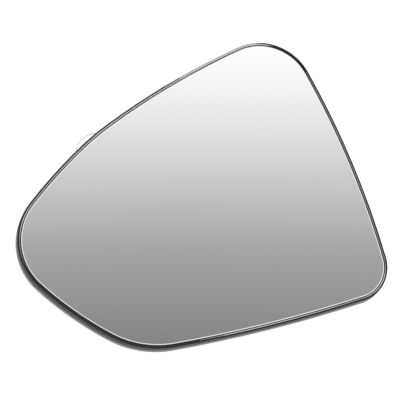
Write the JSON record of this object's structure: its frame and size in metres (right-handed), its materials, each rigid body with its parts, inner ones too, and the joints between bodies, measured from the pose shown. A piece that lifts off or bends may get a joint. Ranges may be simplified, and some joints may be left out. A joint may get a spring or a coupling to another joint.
{
  "type": "car door mirror glass",
  "caption": "Convex heated door mirror glass in a slim black rim, on a moulded carrier with a round clip-on collar behind.",
  "frame": {"origin": "on the axis of the rear collar, in the plane of the collar's mouth", "axes": "+Z out of the mirror face, +X outboard along the lower edge, +Y to the upper edge in use"},
  "size_m": [0.185, 0.1501, 0.0201],
  "materials": {
    "mirror": "silvered glass with a ground edge",
    "film": "printed polyester film",
    "foam": "foam adhesive sheet",
    "carrier": "moulded, satin",
    "terminal": "tinned",
    "rivet": "plain",
    "tab": "milky film"
  },
  "bodies": {
    "root": {"mirror_glass": "mirror", "heater_film": "film", "adhesive_pad": "foam", "backing_plate": "carrier", "heater_terminal_left": "terminal", "heater_terminal_right": "terminal", "terminal_rivet_left": "rivet", "terminal_rivet_right": "rivet", "film_tab": "tab"}
  },
  "joints": []
}
